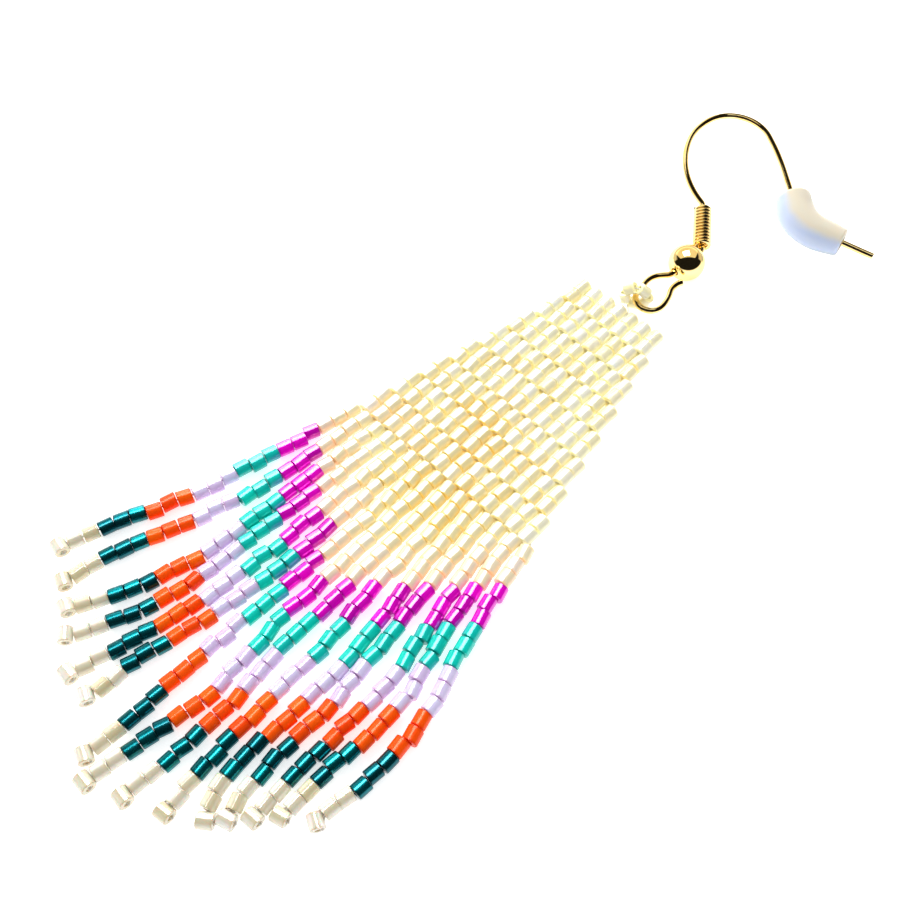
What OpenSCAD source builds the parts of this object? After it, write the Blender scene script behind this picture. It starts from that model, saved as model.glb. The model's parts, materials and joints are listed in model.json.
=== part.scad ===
// Beaded dangle earring, lying flat on a table.
// A brick-stitched panel of cylinder beads hangs from a gilt ear hook by a
// small loop of beads, and fifteen bead strands fan out below the panel.
// X runs across the panel, Y up towards the hook, Z up from the table.
// Lengths are millimetres, and angles are degrees.

/* [Beads] */
// Diameter of a cylinder bead
bead_d = 1.55; // [1.4:0.05:1.55]
// Distance from bead to bead along a strand
bead_pitch = 1.55; // [1.3:0.05:1.8]
// Distance between neighbouring columns of beads in the panel
column_pitch = 1.64; // [1.64:0.02:1.8]
// Distance between neighbouring rows of beads in the panel
row_pitch = 1.75; // [1.55:0.05:1.75]

/* [Ear hook] */
// Diameter of the hook's wire
wire_d = 0.7; // [0.6:0.05:0.75]
// Diameter of the hollow ball on the hook
ball_d = 4; // [3:0.1:4]
// Diameter of the thin wire of the wrapped coil
coil_wire_d = 0.4; // [0.3:0.02:0.42]
// Number of turns in the wrapped coil
coil_turns = 12; // [6:1:12]
// Clear space between the hook's wire and the coil wound round it
coil_gap = 0.26; // [0.06:0.02:0.3]
// Clear space between the hook's wire and what is threaded on it
thread_gap = 0.08; // [0.05:0.01:0.1]

/* [Stopper] */
// Diameter of the stopper at its wide end
stopper_wide_d = 4; // [3:0.1:4]
// Diameter of the stopper at its narrow end
stopper_narrow_d = 3.2; // [2.4:0.1:3.6]

/* [Bead loop] */
// Radius of the bead loop that holds the hook, to the middle of its beads
loop_r = 1.2; // [1.18:0.02:1.24]
// Diameter of the beads in that loop
loop_bead_d = 1.3; // [1.1:0.05:1.3]

/* [Hidden] */

// The outlines below are drawn from the middle of the panel's lower edge.
// This moves the whole to the middle of the earring's own footprint.
footprint_shift = [2.25, -7.99, 0];

// One row for each row of the panel, from the top down: how many beads it
// has, and how many columns to the right it lies. Two rows at a time stand
// bead on bead, and each pair has one bead more than the pair above, so that
// its beads lie under the joints of that pair.
panel_rows = [
    // beads, shift
    [7, 0], [7, 0], [8, 0], [8, 0], [9, 0], [9, 0], [10, 0], [10, 0],
    [11, 0], [11, 0], [12, 0], [12, 0], [13, 0], [13, 0], [14, 0], [14, 0]
];
panel_height = len(panel_rows) * row_pitch;
row_gap = 0.12;
web_thickness = 0.8;
web_inset = 0.3;
bar_chamfer = 0.35;

// One row for each strand, from left to right: how many cream beads it starts
// with, then the way it heads, in degrees to the right of straight down, at
// the panel, in its magenta, turquoise, lilac, orange and teal beads, and at
// its tip.
strand_table = [
    // cream, panel, magenta, turquoise, lilac, orange, teal, tip
    [ 3, -10, -15, -12, -15, -22, -24, -18],
    [ 4,  -8,  -7, -13, -16, -21, -21,  -8],
    [ 5,  -6,  -5,  -5,  -5, -13, -23, -29],
    [ 6,  -5,  -6,  -4,  -3, -12, -21, -26],
    [ 7,  -3,  -3,  -6,  -6, -11, -16, -14],
    [ 7,  -2,  -2,  -4,  -9, -12, -10,  -4],
    [ 9,  -1,  -2,  -5,   0,   1,  -2,  -3],
    [10,   0,  -1,   5,   6,  -3, -12, -10],
    [ 9,   1,   1,   2,   7,   1,  -3,  -5],
    [ 8,   3,   4,   6,   1,   1,   3,   7],
    [ 7,   4,   8,   9,   1,  -6,   2,  24],
    [ 6,   5,   7,   9,   5,   1,  -2,  14],
    [ 5,   6,  12,  10,   5,  -1,  -1,   4],
    [ 4,   7,  10,  16,  12,  -3,  -7,   4],
    [ 3,  11,  10,  16,  18,   7,  -5,  -8]
];
strand_count = len(strand_table);
band_beads = 3;
band_count = 5;
end_beads = 3;
strand_sides = 8;
beads_per_ring = 2;
strand_gap = 0.1;

// The wire is bent in the plane of the table, at the height of the ball's
// middle. Each bend is a length along the wire and the turn made over it,
// where a turn to the left is positive.
wire_z = ball_d / 2;
ball_place = [1.5, 36.8];
ball_heading = 86;
neck_moves = [[2.1, 0], [0.6, 40]];
coil_moves = [[6.1, 0]];
arch_moves = [[0.7, 34], [9.8, -49], [4.2, -34], [6.4, -85], [2, -24],
    [5.7, -9], [3.9, 0]];
sleeve_moves = [[2.3, 0], [2.8, 52], [3.2, 0]];
eye_moves = [[2, 0], [0.9, -38], [0.7, 2], [2, 48], [1.6, 0], [4.6, 172],
    [2.2, 27], [2.1, -58]];
tip_length = 3.7;
wire_step = 0.5;
wire_sides = 8;
wire_facet_d = wire_d - 0.02;
tip_overlap = 0.3;

coil_facets = 14;
coil_sides = 6;
coil_end_gap = 0.15;
coil_r = wire_d / 2 + coil_gap + coil_wire_d / 2;

// Where the bead loop goes round the eye, and which way its plane runs.
loop_place = [0.4, 29.55];
loop_turn = 30;

sleeve_sides = 14;
sleeve_bore_d = wire_d + 2 * thread_gap;
cut_past = 0.5;

$fn = 48;

gold = [0.86, 0.66, 0.28];
silicone = [0.93, 0.93, 0.90];
cream = [0.96, 0.92, 0.78];

// Joins a strand's place in the row of fifteen to its name.
function strand_name(k) = str("fringe_strand_", k < 10 ? "0" : "", k);

// Cuts a list of bends into short steps, each with its length and its turn.
function short_steps(moves, step) = [
    for (m = moves)
        let (n = max(1, round(m[0] / step)))
            for (i = [1 : n]) [m[0] / n, m[1] / n]
];

// Follows short steps from a place and a heading. Each point of the route is
// its x, its y and the way it heads there.
function walk(start, heading, steps) = [
    for (
        i = 0, at = [start[0], start[1], heading];
        i <= len(steps);
        at = i < len(steps) ? next_point(at, steps[i]) : at, i = i + 1
    ) at
];
function next_point(at, move) =
    let (middle = at[2] + move[1] / 2)
        [at[0] + move[0] * cos(middle), at[1] + move[0] * sin(middle),
            at[2] + move[1]];

// The point straight ahead of another, and a route made longer at both ends.
function ahead(at, by) = [at[0] + by * cos(at[2]), at[1] + by * sin(at[2]), at[2]];
function stretched(route, by) =
    concat([ahead(route[0], -by)], route, [ahead(route[len(route) - 1], by)]);

// Joins rings of points, one after the other along a path, into a closed
// skin of triangles with a flat cap at each end.
module skin(rings) {
    sides = len(rings[0]);
    last = len(rings) - 1;
    points = [for (ring = rings) for (p = ring) p];
    walls = [
        for (i = [0 : last - 1])
            for (j = [0 : sides - 1])
                let (
                    k = (j + 1) % sides,
                    a = i * sides + j,
                    b = a + sides,
                    c = (i + 1) * sides + k,
                    d = i * sides + k
                )
                    each [[a, b, c], [a, c, d]]
    ];
    caps = [
        [for (j = [0 : sides - 1]) j],
        [for (j = [sides - 1 : -1 : 0]) last * sides + j]
    ];
    polyhedron(points, concat(walls, caps), convexity = 8);
}

// A round rod along a flat route at one height, whose radius runs evenly
// from the first value to the second.
module rod(route, height, first_r, last_r, sides) {
    last = len(route) - 1;
    skin([
        for (i = [0 : last])
            let (p = route[i], r = first_r + (last_r - first_r) * i / last)
                [
                    for (j = [0 : sides - 1])
                        let (a = 360 * j / sides)
                            [
                                p[0] - r * cos(a) * sin(p[2]),
                                p[1] + r * cos(a) * cos(p[2]),
                                height + r * sin(a)
                            ]
                ]
    ]);
}

// The stretches of the hook's wire, each from where the last one ended.
neck_route = walk(ball_place, ball_heading, short_steps(neck_moves, wire_step));
neck_end = neck_route[len(neck_route) - 1];
coil_route = walk(neck_end, neck_end[2], short_steps(coil_moves, wire_step));
coil_end = coil_route[len(coil_route) - 1];
arch_route = walk(coil_end, coil_end[2], short_steps(arch_moves, wire_step));
arch_end = arch_route[len(arch_route) - 1];
sleeve_route = walk(arch_end, arch_end[2],
    short_steps(sleeve_moves, wire_step));
tip_start = sleeve_route[len(sleeve_route) - 1];
eye_route = walk(ball_place, ball_heading + 180,
    short_steps(eye_moves, wire_step));

function reversed_route(route) = [
    for (i = [len(route) - 1 : -1 : 1])
        [route[i][0], route[i][1], route[i][2] + 180]
];
function without_first(route) = [for (i = [1 : len(route) - 1]) route[i]];

// One bent wire: the eye's cut end, the eye, the ball, the coil, the arch over
// the ear, the leg, the bend inside the stopper and the straight tip.
module ear_hook() {
    whole = concat(
        reversed_route(eye_route),
        neck_route,
        without_first(coil_route),
        without_first(arch_route),
        without_first(sleeve_route),
        [ahead(tip_start, tip_overlap)]
    );
    color(gold)
        translate(footprint_shift) {
            rod(whole, wire_z, wire_facet_d / 2, wire_facet_d / 2, wire_sides);
            translate([tip_start[0], tip_start[1], wire_z])
                rotate([0, 0, tip_start[2]])
                    rotate([0, 90, 0])
                        cylinder(h = tip_length, d = wire_d);
        }
}

// A thin wire wound round the hook's wire between the ball and the arch.
module hook_coil() {
    start = coil_route[0];
    along = [cos(start[2]), sin(start[2]), 0];
    across = [-sin(start[2]), cos(start[2]), 0];
    up = [0, 0, 1];
    wound = coil_moves[0][0] - 2 * coil_end_gap - coil_wire_d;
    first = [start[0], start[1], wire_z]
        + along * (coil_end_gap + coil_wire_d / 2);
    steps = coil_turns * coil_facets;
    color(gold)
        translate(footprint_shift)
            skin([
                for (i = [0 : steps])
                    let (
                        turn = 360 * i / coil_facets,
                        out = across * cos(turn) + up * sin(turn),
                        middle = first + along * (wound * i / steps)
                            + out * coil_r
                    )
                        [
                            for (j = [0 : coil_sides - 1])
                                let (a = 360 * j / coil_sides)
                                    middle + (coil_wire_d / 2)
                                        * (along * cos(a) + out * sin(a))
                        ]
            ]);
}

// The polished ball, drilled for the wire.
module hook_ball() {
    color(gold)
        translate(footprint_shift + [ball_place[0], ball_place[1], wire_z])
            rotate([0, 0, ball_heading])
                rotate([0, 90, 0])
                    difference() {
                        sphere(d = ball_d);
                        cylinder(h = ball_d + 2 * cut_past,
                            d = wire_d + 2 * thread_gap, center = true);
                    }
}

// The soft sleeve that stops the hook from slipping out of the ear. It takes
// the bend of the wire that it is pushed over.
module wire_stopper() {
    color(silicone)
        translate(footprint_shift)
            difference() {
                rod(sleeve_route, wire_z, stopper_wide_d / 2,
                    stopper_narrow_d / 2, sleeve_sides);
                rod(stretched(sleeve_route, cut_past), wire_z,
                    sleeve_bore_d / 2, sleeve_bore_d / 2, wire_sides);
            }
}

// The ring of beads at the top of the panel, which stands round the eye.
module hanging_loop() {
    color(cream)
        translate(footprint_shift + [loop_place[0], loop_place[1], wire_z])
            rotate([0, 0, loop_turn])
                rotate([90, 0, 0])
                    rotate_extrude()
                        translate([loop_r, 0])
                            circle(d = loop_bead_d);
}

// The left and right ends of a row of the panel.
function row_left(row) = (row[1] - row[0] / 2) * column_pitch;
function row_right(row) = (row[1] + row[0] / 2) * column_pitch;

// One row of panel beads side by side: a bar with chamfered edges.
module panel_row(row, level) {
    half = (row_pitch - row_gap) / 2;
    length = row[0] * column_pitch;
    top = bead_d;
    c = bar_chamfer;
    translate([row_left(row), level, 0])
        rotate([90, 0, 90])
            linear_extrude(height = length)
                polygon([
                    [c - half, 0], [half - c, 0], [half, c], [half, top - c],
                    [half - c, top], [c - half, top], [-half, top - c],
                    [-half, c]
                ]);
}

// The height of a row's middle above the panel's lower edge.
function row_level(i) = panel_height - (i + 0.5) * row_pitch;

// The web that joins two rows, over the stretch that both of them have.
module row_web(upper, lower, level) {
    left = max(row_left(upper), row_left(lower)) + web_inset;
    right = min(row_right(upper), row_right(lower)) - web_inset;
    translate([left, level - web_inset, (bead_d - web_thickness) / 2])
        cube([right - left, 2 * web_inset, web_thickness]);
}

// The woven panel: a bar for each row, held together by a web between them.
module bead_panel() {
    last = len(panel_rows) - 1;
    color(cream)
        translate(footprint_shift) {
            for (i = [0 : last]) panel_row(panel_rows[i], row_level(i));
            for (i = [0 : last - 1])
                row_web(panel_rows[i], panel_rows[i + 1],
                    row_level(i) - row_pitch / 2);
        }
}

// The way strand k heads at a count of beads from the panel. It runs evenly
// between the headings of the table, each of which holds at the middle of its
// colour.
function station(k, i) =
    let (cream_beads = strand_table[k - 1][0])
        i == 0 ? 0
        : i <= band_count ? cream_beads + band_beads * (i - 0.5)
        : cream_beads + band_beads * band_count + end_beads / 2;
function strand_heading(k, beads) =
    lookup(beads, [for (i = [0 : band_count + 1])
        [station(k, i), strand_table[k - 1][i + 1]]]);
function strand_beads(k) =
    strand_table[k - 1][0] + band_beads * band_count + end_beads;

// The route of a strand: a point after each bead, from the panel to the tip.
function strand_route(k) =
    let (
        n = strand_beads(k),
        root = [(k - (strand_count + 1) / 2) * column_pitch, 0]
    )
        [
            for (
                i = 0, x = root[0], y = root[1];
                i <= n;
                x = x + bead_pitch * sin(strand_heading(k, i + 0.5)),
                y = y - bead_pitch * cos(strand_heading(k, i + 0.5)),
                i = i + 1
            ) [x, y, strand_heading(k, i) - 90]
        ];

// Keeps the first and last points of a route and every few between them.
function thinned(route, every) =
    let (last = len(route) - 1)
        concat(
            [for (i = [0 : every : last - every / 2]) route[i]],
            [route[last]]
        );

// A strand of the fringe, as the round outer form of its threaded beads. It
// starts a little below the panel, and its stop bead is part of it.
module fringe_strand(k) {
    route = strand_route(k);
    first = [route[0][0], -strand_gap, route[0][2]];
    kept = thinned(route, beads_per_ring);
    color(cream)
        translate(footprint_shift)
            rod(concat([first], without_first(kept)), bead_d / 2, bead_d / 2,
                bead_d / 2, strand_sides);
}

ear_hook();
hook_coil();
hook_ball();
wire_stopper();
hanging_loop();
bead_panel();
for (k = [1 : strand_count])
    fringe_strand(k);
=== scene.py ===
# %% [markdown]
# # A beaded dangle earring
#
# This notebook finishes an earring that lies on a white table: a gilt ear hook, a soft
# stopper, a stitched panel of cylinder beads and fifteen strands that fan out below it.
# The solids that carry each piece are loaded first, and every finished piece is laid
# exactly where its solid is. All shapes are surfaces worked out with numpy, because a
# bead, a wire and a thread are each one short formula that repeats.

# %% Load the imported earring
import json

import bpy
import numpy as np
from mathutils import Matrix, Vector

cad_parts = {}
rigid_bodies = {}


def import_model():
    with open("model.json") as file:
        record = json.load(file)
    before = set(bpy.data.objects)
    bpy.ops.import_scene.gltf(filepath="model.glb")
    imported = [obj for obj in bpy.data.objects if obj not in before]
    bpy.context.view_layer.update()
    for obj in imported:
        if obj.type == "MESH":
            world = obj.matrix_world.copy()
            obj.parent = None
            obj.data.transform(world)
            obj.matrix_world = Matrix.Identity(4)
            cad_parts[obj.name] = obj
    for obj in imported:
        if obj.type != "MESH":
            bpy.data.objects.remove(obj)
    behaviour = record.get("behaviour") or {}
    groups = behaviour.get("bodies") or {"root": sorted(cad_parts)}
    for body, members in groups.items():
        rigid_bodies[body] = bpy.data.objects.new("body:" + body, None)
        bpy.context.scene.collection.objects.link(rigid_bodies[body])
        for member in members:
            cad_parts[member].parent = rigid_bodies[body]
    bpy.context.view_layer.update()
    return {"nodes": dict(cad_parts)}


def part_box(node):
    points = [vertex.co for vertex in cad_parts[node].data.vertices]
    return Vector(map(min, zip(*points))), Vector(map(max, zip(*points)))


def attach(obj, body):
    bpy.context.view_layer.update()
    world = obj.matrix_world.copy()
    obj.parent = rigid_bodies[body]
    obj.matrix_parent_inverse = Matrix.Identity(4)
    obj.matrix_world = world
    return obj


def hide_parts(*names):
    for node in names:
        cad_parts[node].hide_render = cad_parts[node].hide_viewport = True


MM = 0.001
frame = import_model()
print("solids loaded:", len(frame["nodes"]))

# %% [markdown]
# ## The camera
#
# The earring was photographed from about 59 degrees above the table, across the panel's
# corner. A camera could be keyed in by hand, but a direction, a distance and a point to
# look at say the same in words that can be checked against the picture. At a turn of 0
# the camera looks along +Y, from the fringe towards the hook.

# %% Place the camera
CAMERA_TURN = np.radians(43.6)
CAMERA_RISE = np.radians(59.2)
CAMERA_DISTANCE = 119.6
CAMERA_AIM = np.array([0.69, -4.92, 0.0])
LENS = 48.0
SENSOR = 36.0
# metres from the lens, close enough for a small thing
CLIP_START = 0.005


def direction(turn, rise):
    """Unit vector that points back from the table: turned about Z from -Y, then raised."""
    return np.array([np.sin(turn) * np.cos(rise), -np.cos(turn) * np.cos(rise), np.sin(rise)])


def look_from(thing, place, aim):
    """Puts a camera or lamp at a place in millimetres and turns its -Z axis to the aim."""
    thing.location = Vector(place * MM)
    thing.rotation_euler = Vector(aim - place).to_track_quat("-Z", "Y").to_euler()


to_camera = direction(CAMERA_TURN, CAMERA_RISE)
camera = bpy.data.objects.new("Camera", bpy.data.cameras.new("Camera"))
bpy.context.scene.collection.objects.link(camera)
camera.data.lens = LENS
camera.data.sensor_width = SENSOR
camera.data.clip_start = CLIP_START
look_from(camera, CAMERA_AIM + CAMERA_DISTANCE * to_camera, CAMERA_AIM)
bpy.context.scene.camera = camera
bpy.context.scene.view_settings.view_transform = "Standard"
print("camera at", [round(v * 1000, 1) for v in camera.location], "mm")

# %% [markdown]
# ## A helper for shader trees
#
# Materials, the surround and the shared effects are all node trees. Typing each link as
# its own line hides what a tree does, so one helper adds a node, sets or links its inputs
# by name or by number, and returns it. The others are short forms of it, and the last one
# starts a material whose plain numbers are set on the shader itself.

# %% Build node trees


def add(tree, kind, inputs=None, **settings):
    """Adds a shader node. A socket given as an input is linked, and a value is set."""
    made = tree.nodes.new(kind)
    for name, value in settings.items():
        setattr(made, name, value)
    for name, value in (inputs or {}).items():
        if isinstance(value, bpy.types.NodeSocket):
            tree.links.new(value, made.inputs[name])
        else:
            made.inputs[name].default_value = value
    return made


def mixed(tree, factor, first, second):
    """Colour output of a mix: the first colour at factor 0, the second at factor 1."""
    return add(tree, "ShaderNodeMix", {0: factor, 6: first, 7: second},
               data_type="RGBA").outputs[2]


def ramped(tree, value, low, high, to_low=0.0, to_high=1.0):
    """Smooth step: to_low below the low value, to_high above the high one."""
    return add(tree, "ShaderNodeMapRange", {0: value, 1: low, 2: high, 3: to_low, 4: to_high},
               interpolation_type="SMOOTHSTEP").outputs[0]


def maths(tree, operation, first, second=0.0):
    """Output of one sum, product or other operation on two values."""
    return add(tree, "ShaderNodeMath", {0: first, 1: second}, operation=operation).outputs[0]


def principled(name, constants):
    """A new material, its tree and its shader, with the shader's own sockets set."""
    made = bpy.data.materials.new(name)
    made.use_nodes = True
    shader = made.node_tree.nodes["Principled BSDF"]
    for socket, value in constants.items():
        shader.inputs[socket].default_value = value
    return made, made.node_tree, shader


# %% [markdown]
# ## Light and table
#
# The picture is bright all over, yet the gold is full of black bands and the beads carry
# sharp white patches. Those are two kinds of light. Shiny things mirror a dark room, pale
# only low down on its far side, and the windows that are hung in it. Dull things are lit
# by an even white dome and a soft window on the left. One surround can serve both,
# because it can ask which kind of ray is looking at it.

# %% Paint the surround
WHITE = (1.0, 1.0, 1.0, 1.0)
DOME = (0.66, 0.66, 0.67, 1.0)
PALE_SIDE = (0.80, 0.76, 0.66, 1.0)
DARK_SIDE = (0.012, 0.011, 0.010, 1.0)
# where the near wall fades in, as the cosine towards the camera, and where its foot and
# the dark above everything begin, as the height of a unit direction
NEAR_WALL, WALL_FOOT, DARK_ABOVE = (-0.14, 0.02), (0.02, 0.08), (0.28, 0.5)

world = bpy.data.worlds.new("Studio surround")
bpy.context.scene.world = world
world.use_nodes = True
tree = world.node_tree
tree.nodes.clear()
way = add(tree, "ShaderNodeTexCoord").outputs["Generated"]
toward = add(tree, "ShaderNodeVectorMath", {0: way, 1: direction(CAMERA_TURN, 0.0)},
             operation="DOT_PRODUCT").outputs["Value"]
rise = add(tree, "ShaderNodeSeparateXYZ", {0: way}).outputs["Z"]
near_wall = maths(tree, "MULTIPLY", ramped(tree, toward, *NEAR_WALL),
                  ramped(tree, rise, *WALL_FOOT))
dark = maths(tree, "MAXIMUM", near_wall, ramped(tree, rise, *DARK_ABOVE))
rays = add(tree, "ShaderNodeLightPath").outputs
room = mixed(tree, dark, PALE_SIDE, DARK_SIDE)
paint = mixed(tree, rays["Is Camera Ray"], mixed(tree, rays["Is Glossy Ray"], DOME, room),
              WHITE)
shade = add(tree, "ShaderNodeBackground", {"Color": paint})
add(tree, "ShaderNodeOutputWorld", {"Surface": shade.outputs[0]})

# %% Hang the windows
WINDOW_DISTANCE = 320.0
PLAIN = (1.0, 1.0, 1.0)
AMBER = (1.0, 0.90, 0.66)


def far_side(turn, rise):
    """Direction away from the camera's side, from degrees turned and raised."""
    return direction(CAMERA_TURN + np.pi + np.radians(turn), np.radians(rise))


def window(name, way, width, height, radiance, shiny=True, tint=PLAIN):
    """Rectangular lamp, its sides in millimetres, in a direction from the earring. Its power
    is radiance times pi times its area. It is seen in shiny surfaces only, or lights dull
    surfaces only."""
    lamp = bpy.data.lights.new(name, "AREA")
    lamp.shape = "RECTANGLE"
    lamp.size, lamp.size_y, lamp.color = width * MM, height * MM, tint
    lamp.energy = radiance * np.pi * width * height * MM ** 2
    hung = bpy.data.objects.new(name, lamp)
    hung.visible_glossy, hung.visible_diffuse = shiny, not shiny
    bpy.context.scene.collection.objects.link(hung)
    look_from(hung, CAMERA_AIM + WINDOW_DISTANCE * np.array(way) / np.linalg.norm(way),
              CAMERA_AIM)


window("Skylight", far_side(5, 62), 190.0, 230.0, 13.0)
window("Side window", (-0.82, 0.37, 0.43), 90.0, 190.0, 6.0)
window("Small window", far_side(5, 65), 190.0, 190.0, 12.0)
window("Far glow", far_side(0, 54), 760.0, 520.0, 0.95, tint=AMBER)
window("Left glow", far_side(60, 62), 640.0, 480.0, 1.2, tint=AMBER)
window("Low glow", far_side(6, 29), 220.0, 150.0, 1.3)
window("High glow", far_side(0, 78), 230.0, 110.0, 1.1)
window("Soft window", (-0.77, 0.33, 0.54), 300.0, 300.0, 5.2, shiny=False)

# %% Lay the table
TABLE_HALF = 1200.0
TABLE_GLOW = 0.62


def table_material():
    """Plain white card with a faint fibre in its sheen. It gives a little light of its own,
    as a sheet on a light table does, which lifts the shadows to white."""
    made, tree, shader = principled("White card", {
        "Base Color": (0.93, 0.93, 0.935, 1.0), "Emission Color": WHITE,
        "Emission Strength": TABLE_GLOW})
    place = add(tree, "ShaderNodeTexCoord").outputs["Object"]
    fibre = add(tree, "ShaderNodeTexNoise", {"Vector": place, "Scale": 900.0}).outputs[0]
    tree.links.new(ramped(tree, fibre, 0.3, 0.7, 0.55, 0.7), shader.inputs["Roughness"])
    return made


card = bpy.data.meshes.new("Table")
corner = TABLE_HALF * MM
card.from_pydata([(-corner, -corner, 0), (corner, -corner, 0), (corner, corner, 0),
                  (-corner, corner, 0)], [], [(0, 1, 2, 3)])
table = bpy.data.objects.new("Table", card)
bpy.context.scene.collection.objects.link(table)
card.materials.append(table_material())

# %% [markdown]
# ## From formulas to meshes
#
# Every piece below is one or more shells. A shell is a set of points, its faces, the
# exact normal at each corner of each face, and a UV whose u runs round the shell and
# whose v runs along it. Blender can guess normals from the faces, but a bead of twelve
# sides only looks round when the formula gives them, so each shell brings its own.

# %% Number the faces of a grid


def grid_faces(rings, sides, around=False):
    """Quads of a tube of rings. Face (i, j) joins ring i to ring i + 1 and side j to
    side j + 1, counting the sides round, and the rings too where the tube bites its tail."""
    i, j = np.meshgrid(np.arange(rings if around else rings - 1), np.arange(sides),
                       indexing="ij")
    after, beside = (i + 1) % rings, (j + 1) % sides
    quads = np.stack([i * sides + j, i * sides + beside, after * sides + beside,
                      after * sides + j], -1)
    return quads.reshape(-1, 4)


def grid_uv(rings, sides, v, around=False):
    """UV of each corner of the same quads: u is the share of the turn, v is given a ring."""
    i, j = np.meshgrid(np.arange(rings if around else rings - 1), np.arange(sides),
                       indexing="ij")
    before, after = v[i], v[(i + 1) % rings]
    left, right = j / sides, (j + 1) / sides
    corners = [(left, before), (right, before), (right, after), (left, after)]
    return np.stack([np.stack(c, -1) for c in corners], -2).reshape(-1, 4, 2)


# %% Sweep a profile along a path


def unit(vectors):
    """Vectors divided by their own lengths."""
    return vectors / np.linalg.norm(vectors, axis=-1, keepdims=True)


def tube(path, up, radius, sides, lean=None, around=False, finish=0):
    """A round rod along a path. Ring i is path + radius * (cos a * left + sin a * up),
    where left is up x tangent. Lean tips a ring's normals towards the path's end, so that
    a rounded end shades as round. The ends are closed by flat caps unless it is a loop."""
    path, count = np.asarray(path, float), len(path)
    if around:
        along = unit(np.roll(path, -1, 0) - np.roll(path, 1, 0))
    else:
        along = unit(np.gradient(path, axis=0))
    left = unit(np.cross(np.broadcast_to(up, path.shape), along))
    high = np.cross(along, left)
    radius = np.broadcast_to(radius, count)
    angle = 2 * np.pi * np.arange(sides) / sides
    out = (np.cos(angle)[None, :, None] * left[:, None]
           + np.sin(angle)[None, :, None] * high[:, None])
    points = (path[:, None] + radius[:, None, None] * out).reshape(-1, 3)
    lean = np.zeros(count) if lean is None else np.asarray(lean)
    tipped = (np.cos(lean)[:, None, None] * out
              + np.sin(lean)[:, None, None] * along[:, None]).reshape(-1, 3)
    quads = grid_faces(count, sides, around)
    steps = np.linalg.norm(np.diff(path, axis=0), axis=1)
    length = np.concatenate([[0], np.cumsum(steps)])
    shell = {"points": points, "faces": [quads], "normals": [tipped[quads]],
             "uv": [grid_uv(count, sides, length, around)], "finish": [finish], "marks": {}}
    if not around:
        first, last = np.arange(sides)[::-1][None], (points.shape[0] - sides
                                                     + np.arange(sides))[None]
        for cap, way in ((first, -along[0]), (last, along[-1])):
            shell["faces"].append(cap)
            shell["normals"].append(np.broadcast_to(way, (1, sides, 3)))
            shell["uv"].append(np.zeros((1, sides, 2)))
            shell["finish"].append(finish)
    return shell


# %% Close a profile into a ring


def ring_shell(points, ways, v):
    """A shell from points and normals on a grid: one row for each place of a closed
    profile, one column for each side round the axis, and a v for each row."""
    rings, sides = points.shape[:2]
    quads = grid_faces(rings, sides, around=True)
    return {"points": points.reshape(-1, 3), "faces": [quads],
            "normals": [ways.reshape(-1, 3)[quads]],
            "uv": [grid_uv(rings, sides, v, around=True)], "finish": [0], "marks": {}}


# %% Join shells into one piece
MARKS = ("pick", "warm", "blush")


def make_piece(name, shells, materials, nodes):
    """Joins shells into one mesh at the origin, with its place in its points, and lets it
    stand for its CAD nodes. Marks are values per point that the materials read."""
    starts = np.cumsum([0] + [len(s["points"]) for s in shells])
    mesh = bpy.data.meshes.new(name)
    faces, finish = [], []
    for shell, start in zip(shells, starts):
        for block, chosen in zip(shell["faces"], shell["finish"]):
            faces += (block + start).tolist()
            finish += np.broadcast_to(chosen, len(block)).tolist()
    mesh.from_pydata(np.concatenate([s["points"] for s in shells]) * MM, [], faces)
    mesh.shade_smooth()
    for material in materials:
        mesh.materials.append(material)
    mesh.polygons.foreach_set("material_index", finish)
    mesh.uv_layers.new(name="Round and along").data.foreach_set(
        "uv", np.concatenate([u.reshape(-1, 2) for s in shells for u in s["uv"]]).ravel())
    for mark in MARKS:
        values = [np.broadcast_to(s["marks"].get(mark, 0.0), len(s["points"])) for s in shells]
        mesh.attributes.new(mark, "FLOAT", "POINT").data.foreach_set(
            "value", np.concatenate(values).astype(np.float32))
    mesh.normals_split_custom_set(
        np.concatenate([n.reshape(-1, 3) for s in shells for n in s["normals"]]).tolist())
    piece = bpy.data.objects.new(name, mesh)
    bpy.context.scene.collection.objects.link(piece)
    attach(piece, "root")
    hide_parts(*nodes)
    print(name, "has", len(faces), "faces")


# %% [markdown]
# ## Gold plate
#
# Polished plate is a mirror with a warm tint. What keeps it from looking like a computer's
# gold is its handling: tiny scratches that blur the mirror here and there, and a slightly
# deeper colour in patches. That wear is a node group, because the wire, the coil and the
# ball all use it at their own strength.

# %% Make the wear that polished metal shares


def group_tree(name, inputs, outputs):
    """A new shader group with named inputs and outputs, its input node and output node."""
    group = bpy.data.node_groups.new(name, "ShaderNodeTree")
    for label, kind, value in inputs:
        socket = group.interface.new_socket(label, in_out="INPUT", socket_type=kind)
        socket.default_value = value
    for label, kind in outputs:
        group.interface.new_socket(label, in_out="OUTPUT", socket_type=kind)
    return group, add(group, "NodeGroupInput"), add(group, "NodeGroupOutput")


COLOUR, VALUE = "NodeSocketColor", "NodeSocketFloat"


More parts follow.
